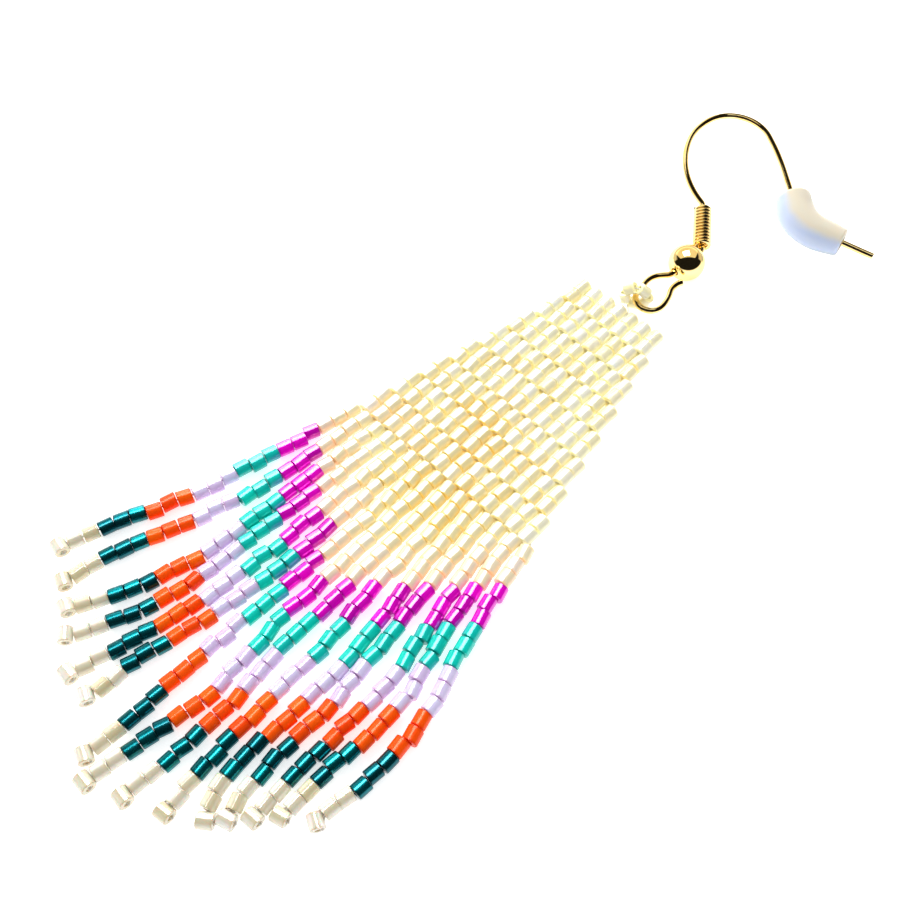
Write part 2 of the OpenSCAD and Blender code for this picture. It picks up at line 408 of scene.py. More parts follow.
def handled_metal_group():
    """Roughness rises from Smooth to Worn along fine scratches, and the colour leans to
    Deep in soft patches. Both follow noise on the piece's own coordinates."""
    group, given, made = group_tree(
        "Handled metal",
        [("Bright", COLOUR, WHITE), ("Deep", COLOUR, WHITE), ("Smooth", VALUE, 0.05),
         ("Worn", VALUE, 0.2)],
        [("Color", COLOUR), ("Roughness", VALUE), ("Height", VALUE)])
    place = add(group, "ShaderNodeTexCoord").outputs["Object"]
    patches = add(group, "ShaderNodeTexNoise", {"Vector": place, "Scale": 420.0}).outputs[0]
    drawn = add(group, "ShaderNodeMapping", {"Vector": place, "Scale": (9000, 2500, 9000)})
    scratches = add(group, "ShaderNodeTexNoise",
                    {"Vector": drawn.outputs[0], "Scale": 1.0, "Detail": 4.0}).outputs[0]
    line = ramped(group, scratches, 0.56, 0.72)
    colour = mixed(group, ramped(group, patches, 0.4, 0.75), given.outputs["Bright"],
                   given.outputs["Deep"])
    span = maths(group, "SUBTRACT", given.outputs["Worn"], given.outputs["Smooth"])
    rough = maths(group, "ADD", maths(group, "MULTIPLY", line, span), given.outputs["Smooth"])
    group.links.new(colour, made.inputs["Color"])
    group.links.new(rough, made.inputs["Roughness"])
    group.links.new(scratches, made.inputs["Height"])
    return group


HANDLED_METAL = handled_metal_group()


def gold(name, worn):
    """Gold plate: a metal base, the handled-metal group and a bump of a few microns."""
    made, tree, shader = principled(name, {"Metallic": 1.0})
    wear = add(tree, "ShaderNodeGroup", {
        "Bright": (1.0, 0.78, 0.36, 1), "Deep": (0.93, 0.62, 0.20, 1),
        "Smooth": 0.045, "Worn": worn}, node_tree=HANDLED_METAL)
    bump = add(tree, "ShaderNodeBump", {"Height": wear.outputs["Height"],
                                        "Distance": 0.000004, "Strength": 0.25})
    tree.links.new(wear.outputs["Color"], shader.inputs["Base Color"])
    tree.links.new(wear.outputs["Roughness"], shader.inputs["Roughness"])
    tree.links.new(bump.outputs[0], shader.inputs["Normal"])
    return made


WIRE_GOLD = gold("Gold wire", 0.14)
BALL_GOLD = gold("Gold ball", 0.12)

# %% [markdown]
# ## The hook's wire
#
# The whole hook is one wire, bent by hand round pegs: an eye that holds the beads, a neck,
# the stretch inside the coil, the arch over the ear and the tip. A Bezier curve could be
# nudged until it fits, but a bender thinks in lengths and turns, so the route is a list of
# bends that is walked from the ball. The ball's solid says where that walk starts.

# %% Walk the bends


def box_of(node):
    """The low and high corner of a solid's box, in millimetres."""
    return (np.array(corner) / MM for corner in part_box(node))


ball_low, ball_high = box_of("hook_ball")
BALL = (ball_low + ball_high) / 2
BALL_RADIUS = (ball_high - ball_low)[2] / 2
WIRE_RADIUS = 0.35
# degrees from +X that the wire heads where it leaves the ball, and each bend as millimetres
# of wire and the degrees that it turns in them
BALL_HEADING = 86.0
NECK = [(2.1, 0), (0.6, 40)]
COIL_RUN = [(6.1, 0)]
ARCH = [(0.7, 34), (9.8, -49), (4.2, -34), (6.4, -85), (2, -24), (5.7, -9), (3.9, 0)]
SLEEVE_RUN = [(2.3, 0), (2.8, 52), (3.2, 0)]
TIP = [(3.7, 0)]
EYE = [(2, 0), (0.9, -38), (0.7, 2), (2, 48), (1.6, 0), (4.6, 172), (2.2, 27), (2.1, -58)]
WALK_STEP = 0.1


def walk(start, heading, bends):
    """Follows bends of (length, turn). The heading is the running sum of the small turns,
    and the place is the running sum of small steps along the heading of their middle."""
    lengths, turns = np.array(bends, float).T
    counts = np.maximum(1, np.round(lengths / WALK_STEP)).astype(int)
    step, turn = np.repeat(lengths / counts, counts), np.repeat(turns / counts, counts)
    after = heading + np.cumsum(turn)
    middle = np.radians(after - turn / 2)
    moves = step[:, None] * np.stack([np.cos(middle), np.sin(middle), 0 * middle], -1)
    return start + np.concatenate([np.zeros((1, 3)), np.cumsum(moves, 0)]), after[-1]


def part_of(bends_before, bends):
    """The stretch of the wire that some bends make, after those that come before them."""
    start, heading = walk(BALL, BALL_HEADING, bends_before) if bends_before else (
        BALL[None], BALL_HEADING)
    return walk(start[-1], heading, bends)[0]


eye_path = walk(BALL, BALL_HEADING + 180, EYE)[0]
hook_path = part_of([], NECK + COIL_RUN + ARCH + SLEEVE_RUN + TIP)
wire_path = np.concatenate([eye_path[:0:-1], hook_path])
print("wire length:", round(float(np.linalg.norm(np.diff(wire_path, axis=0), axis=1).sum()), 1),
      "mm")

# %% Round off the cut ends
WIRE_SIDES = 20
WIRE_ROUNDING = 0.1
NEAR_END = 1.0
LEAST_STEP = 0.01
UP = np.array([0.0, 0.0, 1.0])


def rounded_ends(path, radius, corner):
    """Adds rings that round a rod's ends. At angle t a ring lies corner * sin t past the
    last full ring, with radius less by corner * (1 - cos t) and a normal that leans by t.
    The path's own points that would lie among those rings are left out."""
    t = np.radians([25.0, 50.0, 70.0, 90.0])
    past = corner * np.sin(t)
    start, end = unit(path[0] - path[1]), unit(path[-1] - path[-2])
    inner = path[1:-1]
    first, last = path[0] - corner * start, path[-1] - corner * end
    keep = np.full(len(inner), True)
    for full_ring, way in ((first, start), (last, end)):
        off = inner - full_ring
        keep &= (off @ way < -LEAST_STEP) | (np.linalg.norm(off, axis=1) > NEAR_END)
    rings = np.concatenate([(first + past[:, None] * start)[::-1], first[None], inner[keep],
                            last[None], last + past[:, None] * end])
    middle = np.full(len(rings) - 2 * len(t), float(radius))
    shrunk = radius - corner * (1 - np.cos(t))
    lean = np.concatenate([-t[::-1], 0 * middle, t])
    return rings, np.concatenate([shrunk[::-1], middle, shrunk]), lean


rings, radii, lean = rounded_ends(wire_path, WIRE_RADIUS, WIRE_ROUNDING)
make_piece("ear_hook_wire", [tube(rings, UP, radii, WIRE_SIDES, lean)], [WIRE_GOLD],
           ["ear_hook"])

# %% [markdown]
# ## The coil and the ball
#
# The coil is a thinner wire wound twelve times round the stretch above the neck. It could
# be a stack of rings, but a real coil climbs as it goes round, so it is a circle's point
# carried along the stretch. The ball is round about its hole, so it is a lathe: a profile
# that follows the sphere from hole to hole, rolls over a small lip and comes back down the
# drilled hole.

# %% Wind the coil
COIL_WIRE_RADIUS = 0.2
COIL_TURNS = 12
COIL_END_GAP = 0.15
COIL_GAP = 0.26
COIL_RADIUS = WIRE_RADIUS + COIL_GAP + COIL_WIRE_RADIUS
STEPS_IN_TURN, COIL_SIDES = 24, 10
coil_path = part_of(NECK, COIL_RUN)


def helix(start, end, radius, turns, per_turn):
    """Wire round an axis: start + share * (end - start) + radius * (cos t * left + sin t *
    up), where t runs through all the turns. Also gives the outward way at each point."""
    t = 2 * np.pi * turns * np.linspace(0, 1, turns * per_turn + 1)[:, None]
    left = np.cross(UP, unit(end - start))
    out = np.cos(t) * left + np.sin(t) * UP
    return start + t / t[-1] * (end - start) + radius * out, out


axis_way = unit(coil_path[-1] - coil_path[0])
inset = (COIL_END_GAP + COIL_WIRE_RADIUS) * axis_way
coil_wire, coil_out = helix(coil_path[0] + inset, coil_path[-1] - inset, COIL_RADIUS,
                            COIL_TURNS, STEPS_IN_TURN)
make_piece("hook_coil_wire", [tube(coil_wire, coil_out, COIL_WIRE_RADIUS, COIL_SIDES)],
           [WIRE_GOLD], ["hook_coil"])

# %% Turn the ball
# millimetres of room round the wire in a hole that it runs through
HOLE_GAP = 0.08
BORE_RADIUS = WIRE_RADIUS + HOLE_GAP
BALL_LIP = 0.1
BALL_RINGS, BALL_SIDES = 40, 64


def lathe(profile, normals, centre, axis, up, sides):
    """Turns a closed profile round an axis. A profile point (t, r) becomes centre + t * axis
    + r * (cos a * side + sin a * up). Normals are given as (along, outward) in the same way."""
    side = np.cross(up, axis)
    angle = 2 * np.pi * np.arange(sides) / sides
    out = np.cos(angle)[:, None] * side + np.sin(angle)[:, None] * up
    points = (centre + profile[:, None, :1] * axis + profile[:, None, 1:] * out[None])
    ways = normals[:, None, :1] * axis + normals[:, None, 1:] * out[None]
    return ring_shell(points, ways, np.linspace(0, 1, len(profile)))


def drilled_ball(radius, hole, lip, steps):
    """Profile of a drilled ball and its normals: an arc of the sphere, a lip of a quarter
    turn at each end and the wall of the hole between them."""
    reach = np.arcsin((hole + lip) / radius)
    arc = np.linspace(np.pi - reach, reach, steps)
    sphere = np.stack([radius * np.cos(arc), radius * np.sin(arc)], -1)
    ways = np.stack([np.cos(arc), np.sin(arc)], -1)
    turn = np.radians([20.0, 45.0, 70.0, 90.0])
    edge = radius * np.cos(reach) - lip
    lip_at = np.stack([edge + lip * np.cos(turn), hole + lip - lip * np.sin(turn)], -1)
    lip_way = np.stack([np.cos(turn), -np.sin(turn)], -1)
    mirror = np.array([-1.0, 1.0])
    return (np.concatenate([sphere, lip_at, lip_at[::-1] * mirror]),
            np.concatenate([ways, lip_way, lip_way[::-1] * mirror]))


ball_axis = np.array([np.cos(np.radians(BALL_HEADING)), np.sin(np.radians(BALL_HEADING)), 0])
profile, ways = drilled_ball(BALL_RADIUS, BORE_RADIUS, BALL_LIP, BALL_RINGS)
make_piece("hook_ball_shell", [lathe(profile, ways, BALL, ball_axis, UP, BALL_SIDES)],
           [BALL_GOLD], ["hook_ball"])

# %% [markdown]
# ## The silicone stopper
#
# The stopper is a short length of soft tube pushed over the wire's bend, thicker where it
# starts. It could be a bent cylinder, but cut silicone has soft edges and the mouth shows
# its wall, so the sleeve is a closed profile of length and radius carried along the bend.
# Thick rubber bends more gently than the wire in it, and it bulges on the outside.

# %% Mix the silicone
# painted light on the silicone: a cool blue haze on its outer flank and a grey shade underneath
PAINTED_BLUE_HAZE = (0.54, 0.62, 0.79, 1.0)
WARM_MILK = (0.69, 0.64, 0.52, 1.0)
PAINTED_UNDER_SHADE = (0.40, 0.46, 0.52, 1.0)


def silicone_material():
    """Milky silicone: light scatters a millimetre deep. Its outer flank is painted a cool blue
    haze of scattered light, underneath it is painted a greyer shade, and the rest takes a
    warm tint. The flank is where cos 2 pi u is near -1, and underneath sin 2 pi u is negative."""
    made, tree, shader = principled("Milky silicone", {
        "Subsurface Weight": 0.9, "Subsurface Radius": (1.0, 0.8, 0.62),
        "Subsurface Scale": 0.0009, "IOR": 1.41})
    place = add(tree, "ShaderNodeTexCoord").outputs["Object"]
    cloud = add(tree, "ShaderNodeTexNoise", {"Vector": place, "Scale": 500.0}).outputs[0]
    around = add(tree, "ShaderNodeSeparateXYZ", {
        0: add(tree, "ShaderNodeTexCoord").outputs["UV"]}).outputs["X"]
    turn = maths(tree, "MULTIPLY", around, 2 * np.pi)
    flank = maths(tree, "ADD", maths(tree, "COSINE", turn), maths(tree, "MULTIPLY", cloud, 0.2))
    # painted blue haze on the outer flank, then painted grey shade underneath it
    milk_and_painted_light = mixed(tree, ramped(tree, flank, -0.75, -0.3, 1.0, 0.0), WARM_MILK, PAINTED_BLUE_HAZE)
    below = ramped(tree, maths(tree, "SINE", turn), -0.45, -0.1, 0.85, 0.0)
    milk_and_painted_light = mixed(tree, maths(tree, "MULTIPLY", below, ramped(tree, flank, -0.2, 0.1, 1.0, 0.0)),
                 milk_and_painted_light, PAINTED_UNDER_SHADE)
    tree.links.new(milk_and_painted_light, shader.inputs["Base Color"])
    tree.links.new(ramped(tree, cloud, 0.3, 0.7, 0.3, 0.42), shader.inputs["Roughness"])
    return made


# %% Shape the sleeve's wall
SLEEVE_WIDE = 2.0
SLEEVE_NARROW = 1.6
SLEEVE_EDGE = 0.28
SLEEVE_WAIST = 0.05
MOUTH_OPENS, MOUTH_DEPTH = 0.12, 0.25
BORE_SLACK = 0.2
WALL_RINGS, EDGE_RINGS, BORE_RINGS = 30, 5, 24


def sleeve_profile(length):
    """A closed profile of (distance along the bend, radius) and its normals: the outer
    wall, a touch slimmer at its ends and middle, a rounded edge, the cut face, and the
    bore on the way back, which opens at both mouths and is slack in the bend."""
    turn = np.radians(np.linspace(0, 90, EDGE_RINGS))
    wall = np.linspace(SLEEVE_EDGE, length - SLEEVE_EDGE, WALL_RINGS)
    share = wall / length
    outer = SLEEVE_WIDE + (SLEEVE_NARROW - SLEEVE_WIDE) * share
    outer -= SLEEVE_WAIST * np.cos(2 * np.pi * share) ** 2
    far = np.stack([length - SLEEVE_EDGE * (1 - np.sin(turn)),
                    outer[-1] - SLEEVE_EDGE * (1 - np.cos(turn))], -1)
    near = np.stack([SLEEVE_EDGE * (1 - np.sin(turn)),
                     outer[0] - SLEEVE_EDGE * (1 - np.cos(turn))], -1)[::-1]
    bore = np.linspace(length, 0, BORE_RINGS)
    lip = MOUTH_OPENS * (np.exp(-bore / MOUTH_DEPTH) + np.exp((bore - length) / MOUTH_DEPTH))
    lip += BORE_SLACK * np.sin(np.pi * bore / length) ** 2
    away = np.stack([np.sin(turn), np.cos(turn)], -1)
    return (np.concatenate([near[:-1], np.stack([wall, outer], -1), far[1:],
                            np.stack([bore, BORE_RADIUS + lip], -1)]),
            np.concatenate([(away * [-1, 1])[::-1][:-1], np.tile([0.0, 1.0], (len(wall), 1)),
                            away[1:], np.tile([0.0, -1.0], (len(bore), 1))]))


# %% Carry it along the bend
SLEEVE_BEND = [(1.6, 0), (4.2, 52), (2.5, 0)]
SLEEVE_BULGE = 0.3
SLEEVE_SIDES = 40


def along_path(path, distance):
    """Places at given distances along a path, and the way that it runs there."""
    steps = np.linalg.norm(np.diff(path, axis=0), axis=1)
    mark = np.concatenate([[0], np.cumsum(steps)])
    way = unit(np.gradient(path, axis=0))
    place = np.stack([np.interp(distance, mark, path[:, k]) for k in range(3)], -1)
    return place, unit(np.stack([np.interp(distance, mark, way[:, k]) for k in range(3)], -1))


def sleeve(path, sides):
    """The sleeve's profile carried along a bend. Its outer wall bulges to the outside of
    the bend by bulge * sin(pi * share of the length), most in the middle."""
    length = np.linalg.norm(np.diff(path, axis=0), axis=1).sum()
    profile, normals = sleeve_profile(length)
    place, way = along_path(path, profile[:, 0])
    left = np.cross(UP, way)
    angle = 2 * np.pi * np.arange(sides) / sides
    out = np.cos(angle)[None, :, None] * left[:, None] + np.sin(angle)[None, :, None] * UP
    bulge = SLEEVE_BULGE * np.sin(np.pi * np.clip(profile[:, :1] / length, 0, 1))
    outside = np.minimum(np.cos(angle), 0) * bulge * (profile[:, 1:] > SLEEVE_NARROW / 2)
    spokes = out + outside[..., None] * left[:, None]
    points = place[:, None] + profile[:, 1, None, None] * spokes
    ways = normals[:, None, :1] * way[:, None] + normals[:, None, 1:] * out
    return ring_shell(points, ways, profile[:, 0])


sleeve_path = part_of(NECK + COIL_RUN + ARCH, SLEEVE_BEND)
make_piece("silicone_stopper", [sleeve(sleeve_path, SLEEVE_SIDES)], [silicone_material()],
           ["wire_stopper"])

# %% [markdown]
# ## Bead finishes
#
# A cylinder bead is cut from a glass tube, so its sides are straight, its rims are barely
# rounded and its bore is wide. Glass takes colour in layers, and each finish here is one
# Principled shader. What they share is a group: it darkens or lightens each bead by its
# own random pick, and paints shade where a bead meets its neighbours, at both rims and
# along both flanks, since light reaches those places only through other beads.

# %% Make the tone that all beads share


def bead_tone_group():
    """Colour goes from Body to Deep by the bead's pick, then towards Crevice, a painted shade
    where beads meet, near the rims (v near 0 or 1) and flanks (u near 0 or a half).
    Roughness gets a little cloud."""
    group, given, made = group_tree(
        "Bead tone",
        [("Body", COLOUR, WHITE), ("Deep", COLOUR, WHITE), ("Crevice", COLOUR, WHITE),
         ("Spread", VALUE, 0.5), ("Crevice amount", VALUE, 0.5), ("Gloss", VALUE, 0.15)],
        [("Color", COLOUR), ("Roughness", VALUE), ("Meeting", VALUE)])
    pick = add(group, "ShaderNodeAttribute", attribute_name="pick").outputs["Fac"]
    uv = add(group, "ShaderNodeSeparateXYZ",
             {0: add(group, "ShaderNodeTexCoord").outputs["UV"]})
    place = add(group, "ShaderNodeTexCoord").outputs["Object"]
    cloud = add(group, "ShaderNodeTexNoise", {"Vector": place, "Scale": 1100.0,
                                              "Detail": 3.0}).outputs[0]
    ends = maths(group, "ABSOLUTE", maths(group, "SUBTRACT", maths(
        group, "MULTIPLY", uv.outputs["Y"], 2.0), 1.0))
    flank = maths(group, "ABSOLUTE", maths(group, "COSINE", maths(
        group, "MULTIPLY", uv.outputs["X"], 2 * np.pi)))
    # painted shade where beads meet: near both rims and along both flanks
    meeting = maths(group, "MAXIMUM", ramped(group, ends, 0.62, 1.0),
                    ramped(group, flank, 0.55, 1.0, 0.0, 0.6))
    uneven = maths(group, "MULTIPLY", meeting, ramped(group, cloud, 0.25, 0.75, 0.45, 1.0))
    crevice = maths(group, "MULTIPLY", uneven, given.outputs["Crevice amount"])
    tone = mixed(group, maths(group, "MULTIPLY", pick, given.outputs["Spread"]),
                 given.outputs["Body"], given.outputs["Deep"])
    colour = mixed(group, crevice, tone, given.outputs["Crevice"])
    rough = maths(group, "ADD", given.outputs["Gloss"], maths(group, "MULTIPLY", cloud, 0.12))
    group.links.new(colour, made.inputs["Color"])
    group.links.new(rough, made.inputs["Roughness"])
    group.links.new(crevice, made.inputs["Meeting"])
    return group


BEAD_TONE = bead_tone_group()

# %% Carry the tone on glass
GLASS_IOR = 1.52
GLAZE = {"Coat Weight": 1.0, "Coat Roughness": 0.04, "Coat IOR": 1.5}
THIN_GLAZE = {"Coat Weight": 0.35, "Coat Roughness": 0.06, "Coat IOR": 1.5}


def bead_glass(name, tone, sockets, through=0.0, painted_edge_shade=None, core=None):
    """A bead finish: the bead-tone group drives colour and roughness, and everything that
    is the same all over the glass is set on the shader itself. Through is the strength of a
    painted glow in the bead's own colour, an emission that stands in for light that comes up
    from the white card below, through the glass. Ivory and clear glass gets a painted edge
    shade where it is seen edge-on, and the clear one shows its bore as a core down its middle."""
    made, tree, shader = principled(
        name, {"IOR": GLASS_IOR, "Emission Strength": through, **sockets})
    placed = add(tree, "ShaderNodeGroup", tone, node_tree=BEAD_TONE)
    colour = placed.outputs["Color"]
    if painted_edge_shade:
        # painted edge shade where the glass is seen edge-on
        edge_on = add(tree, "ShaderNodeLayerWeight", {"Blend": 0.5}).outputs["Facing"]
        colour = mixed(tree, ramped(tree, edge_on, 0.6, 0.95, 0.0, 0.85), colour, painted_edge_shade)
        if core:
            colour = mixed(tree, ramped(tree, edge_on, 0.02, 0.2, 0.6, 0.0), colour, core)
    tree.links.new(colour, shader.inputs["Base Color"])
    # painted glow: the bead's own colour as emission, at the strength that through gives
    tree.links.new(colour, shader.inputs["Emission Color"])
    tree.links.new(placed.outputs["Roughness"], shader.inputs["Roughness"])
    return made, placed


# %% Mix the ivory


def ivory_glass():
    """Ivory lustre: golden where the panel's light is deep, a painted glow, and peach beside
    the pink beads, a painted pink bounce light. Both are marks on the beads, laid when they
    are placed, with some random tone in them. Where beads meet, the light that comes through
    is painted as a golden glow of emission, so there it never goes grey."""
    made, placed = bead_glass(
        "Ivory lustre beads",
        {"Deep": (0.88, 0.80, 0.50, 1), "Spread": 0.8, "Crevice amount": 0.95, "Gloss": 0.12},
        {**GLAZE, "Subsurface Weight": 0.5, "Subsurface Radius": (1.0, 0.9, 0.6),
         "Subsurface Scale": 0.0007}, through=0.38, painted_edge_shade=(0.62, 0.60, 0.47, 1))
    tree = made.node_tree
    warm, blush = (add(tree, "ShaderNodeAttribute", attribute_name=mark).outputs["Fac"]
                   for mark in ("warm", "blush"))
    # warm mixes in a painted golden glow and blush a painted pink bounce light
    body = mixed(tree, warm, (0.90, 0.90, 0.80, 1), (0.89, 0.74, 0.36, 1))
    body = mixed(tree, blush, body, (0.92, 0.74, 0.62, 1))
    # the painted crevice shade and glow colour, golden by warm and peach by blush
    deep = mixed(tree, warm, (0.88, 0.82, 0.42, 1), (0.82, 0.55, 0.10, 1))
    deep = mixed(tree, blush, deep, (0.90, 0.50, 0.28, 1))
    tree.links.new(body, placed.inputs["Body"])
    tree.links.new(deep, placed.inputs["Crevice"])
    # painted golden glow of emission where beads meet, in the crevice colour
    glow = mixed(tree, placed.outputs["Meeting"], (0.0, 0.0, 0.0, 1), deep)
    tree.links.new(glow, tree.nodes["Principled BSDF"].inputs["Emission Color"])
    return made


IVORY = ivory_glass()

# %% Mix the colours of the fringe
# through sets each finish's painted glow in its own colour
MAGENTA = bead_glass(
    "Magenta foil beads",
    {"Body": (1.0, 0.0, 0.70, 1), "Deep": (0.50, 0.0, 0.40, 1),
     "Crevice": (0.36, 0.0, 0.30, 1), "Spread": 0.9, "Crevice amount": 0.8, "Gloss": 0.1},
    {**GLAZE, "Metallic": 0.25}, through=0.16)[0]
TURQUOISE = bead_glass(
    "Turquoise beads",
    {"Body": (0.0, 0.74, 0.58, 1), "Deep": (0.0, 0.50, 0.45, 1),
     "Crevice": (0.0, 0.26, 0.24, 1), "Spread": 0.8, "Crevice amount": 0.7, "Gloss": 0.16},
    {**GLAZE, "Coat Weight": 0.6, "Specular IOR Level": 0.35, "Metallic": 0.15},
    through=0.06)[0]
LILAC = bead_glass(
    "Lilac pearl beads",
    {"Body": (0.68, 0.64, 0.87, 1), "Deep": (0.68, 0.48, 0.76, 1),
     "Crevice": (0.60, 0.34, 0.60, 1), "Spread": 0.7, "Crevice amount": 0.8, "Gloss": 0.16},
    {**GLAZE, "Subsurface Weight": 0.3, "Subsurface Radius": (1.0, 0.7, 1.0),
     "Subsurface Scale": 0.0005}, through=0.08)[0]
ORANGE = bead_glass(
    "Orange beads",
    {"Body": (1.0, 0.125, 0.0, 1), "Deep": (0.92, 0.04, 0.0, 1),
     "Crevice": (0.70, 0.015, 0.0, 1), "Spread": 0.8, "Crevice amount": 0.8, "Gloss": 0.2},
    {**THIN_GLAZE, "Coat Weight": 0.2, "Specular IOR Level": 0.15, "Metallic": 0.1},
    through=0.1)[0]
TEAL = bead_glass(
    "Teal foil beads",
    {"Body": (0.0, 0.29, 0.32, 1), "Deep": (0.0, 0.10, 0.13, 1),
     "Crevice": (0.0, 0.02, 0.03, 1), "Spread": 0.9, "Crevice amount": 0.9, "Gloss": 0.2},
    {**THIN_GLAZE, "Metallic": 0.9})[0]
CLEAR = bead_glass(
    "Clear straw beads",
    {"Body": (0.90, 0.90, 0.85, 1), "Deep": (0.74, 0.68, 0.44, 1),
     "Crevice": (0.56, 0.47, 0.25, 1), "Spread": 0.9, "Crevice amount": 0.7, "Gloss": 0.06},
    {**GLAZE, "Subsurface Weight": 0.4, "Subsurface Scale": 0.0005}, through=0.1,
    painted_edge_shade=(0.30, 0.28, 0.20, 1), core=(0.50, 0.42, 0.21, 1))[0]

# %% Twist the thread
TWISTS_PER_MM = 1.6
PLIES = 3


def thread_material():
    """Waxed white thread: a twist of fine plies, drawn as slanting lines in u and v, with
    painted shade in the grooves between the plies.
    """
    made, tree, shader = principled("Beading thread", {"Sheen Weight": 0.3, "Roughness": 0.6})
    uv = add(tree, "ShaderNodeSeparateXYZ", {
        0: add(tree, "ShaderNodeTexCoord").outputs["UV"]})
    slant = maths(tree, "ADD", uv.outputs["X"],
                  maths(tree, "MULTIPLY", uv.outputs["Y"], TWISTS_PER_MM))
    ply = maths(tree, "ABSOLUTE", maths(tree, "SINE", maths(
        tree, "MULTIPLY", slant, PLIES * np.pi)))
    # painted shade: darker beige in the grooves between plies
    tree.links.new(mixed(tree, ply, (0.74, 0.70, 0.62, 1), (0.95, 0.94, 0.91, 1)),
                   shader.inputs["Base Color"])
    bump = add(tree, "ShaderNodeBump", {"Height": ply, "Distance": 0.00002, "Strength": 0.6})
    tree.links.new(bump.outputs[0], shader.inputs["Normal"])
    return made


THREAD = thread_material()

# %% [markdown]
# ## One bead, then hundreds
#
# All 536 beads share one profile of six corners: the bore's edge, the rim, a small bevel
# and the straight side, then the same again back to the bore. Placing a finished mesh
# hundreds of times would make them all alike, and real beads are not. So the formula takes
# whole arrays of centres, axes, lengths and widths, and every bead comes out a little
# long or short, thick or thin, and cut slightly askew.

# %% Write the bead's formula
BEAD_SIDES = 12
BEAD_BEVEL = 0.075
BORE_SHARE = 0.46
PROFILE_V = np.array([0.0, 0.0, 0.05, 0.95, 1.0, 1.0])
# the (along, outward) normal at the start and at the end of each stretch of the profile:
# rim, bevel, side, bevel, rim and bore
BAND_WAYS = np.array([
    [[-1, 0], [-1, 0]], [[-1, 0], [0, 1]], [[0, 1], [0, 1]],
    [[0, 1], [1, 0]], [[1, 0], [1, 0]], [[0, -1], [0, -1]]], float)
draw = np.random.default_rng(17)


def beads(centre, axis, up, length, width, skew, pick, finish=0, **marks):
    """N beads at once, each a lathed loop of six corners (t, r). A point is centre +
    (t + skew * r * cos a) * axis + r * (cos a * side + sin a * up), so that skew slants
    the cut ends. Corner normals are axial on the rims, radial on the side, and blend over
    the bevel between them."""
    count = len(centre)
    side = np.cross(up, axis)
    half, outer = length / 2, width / 2
    bore = BORE_SHARE * outer
    t = np.stack([-half, -half, BEAD_BEVEL - half, half - BEAD_BEVEL, half, half], -1)
    r = np.stack([bore, outer - BEAD_BEVEL, outer, outer, outer - BEAD_BEVEL, bore], -1)
    angle = 2 * np.pi * np.arange(BEAD_SIDES) / BEAD_SIDES
    out = (np.cos(angle)[:, None] * side[:, None] + np.sin(angle)[:, None] * up[:, None])
    slant = t[:, :, None] + skew[:, None, None] * r[:, :, None] * np.cos(angle)
    points = (centre[:, None, None] + slant[..., None] * axis[:, None, None]
              + r[:, :, None, None] * out[:, None])
    corners = len(PROFILE_V)
    quads = grid_faces(corners, BEAD_SIDES, around=True)
    offset = np.arange(count)[:, None, None] * (corners * BEAD_SIDES)
    begin, end = BAND_WAYS[:, 0], BAND_WAYS[:, 1]
    beside = np.roll(out, -1, axis=1)

    def facing(way, spokes):
        return (way[None, :, None, :1] * axis[:, None, None]
                + way[None, :, None, 1:] * spokes[:, None])

    normals = np.stack([facing(begin, out), facing(begin, beside), facing(end, beside),
                        facing(end, out)], -2)
    uv = np.broadcast_to(grid_uv(corners, BEAD_SIDES, PROFILE_V, around=True),
                         (count, len(quads), 4, 2))
    spread = {name: np.repeat(np.broadcast_to(value, count), corners * BEAD_SIDES)
              for name, value in {"pick": pick, **marks}.items()}
    return {"points": points.reshape(-1, 3), "faces": [(quads + offset).reshape(-1, 4)],
            "normals": [normals.reshape(-1, 4, 3)], "uv": [uv.reshape(-1, 4, 2)],
            "finish": [np.repeat(np.broadcast_to(finish, count), len(quads))],
            "marks": spread}


def uneven(count, size):
    """Gentle random differences between neighbours, never more than twice their size."""
    return np.clip(draw.normal(0, size, count), -2 * size, 2 * size)


def turned(axis, up, angle):
    """Vectors turned about another by an angle: cos * v + sin * (up x v)."""
    return np.cos(angle)[:, None] * axis + np.sin(angle)[:, None] * np.cross(up, axis)


# %% [markdown]
# ## The stitched panel
#
# The panel is worked in brick stitch, two beads at a time: eight courses, each of beads
# stacked in pairs, and each pair over the joint between two pairs of the next course. All
# bores run down towards the fringe. The thread goes straight through a pair, and at the
# joint between two courses it laces from side to side, out of a pair above and into the
# one half a column on. That lacing is a sine wave, and the beads are a formula of row and
# place.

# %% Set out the rows
BEAD_WIDTH = 1.55
COLUMN = 1.64
ROW = 1.75
ROW_GAP = 0.12
COURSE_BEADS = [7, 8, 9, 10, 11, 12, 13, 14]
ROWS_IN_COURSE = 2
panel_low, panel_high = box_of("bead_panel")
FOOT = np.array([(panel_low[0] + panel_high[0]) / 2, panel_low[1] - ROW_GAP / 2, 0.0])
row_beads = np.repeat(COURSE_BEADS, ROWS_IN_COURSE)
ROWS = len(row_beads)
row_y = FOOT[1] + (ROWS - np.arange(ROWS) - 0.5) * ROW
row_of = np.repeat(np.arange(ROWS), row_beads)
place_in_row = np.concatenate([np.arange(n) for n in row_beads])
panel_x = FOOT[0] + COLUMN * (place_in_row - (row_beads[row_of] - 1) / 2)
PANEL_BEADS = len(row_of)
print("panel beads:", PANEL_BEADS)

# %% Lace the courses
THREAD_RADIUS = 0.06
THREAD_SIDES = 5
LACE_REACH = 0.35
LACE_STEPS = 8
THREAD_HEIGHT = BEAD_WIDTH / 2


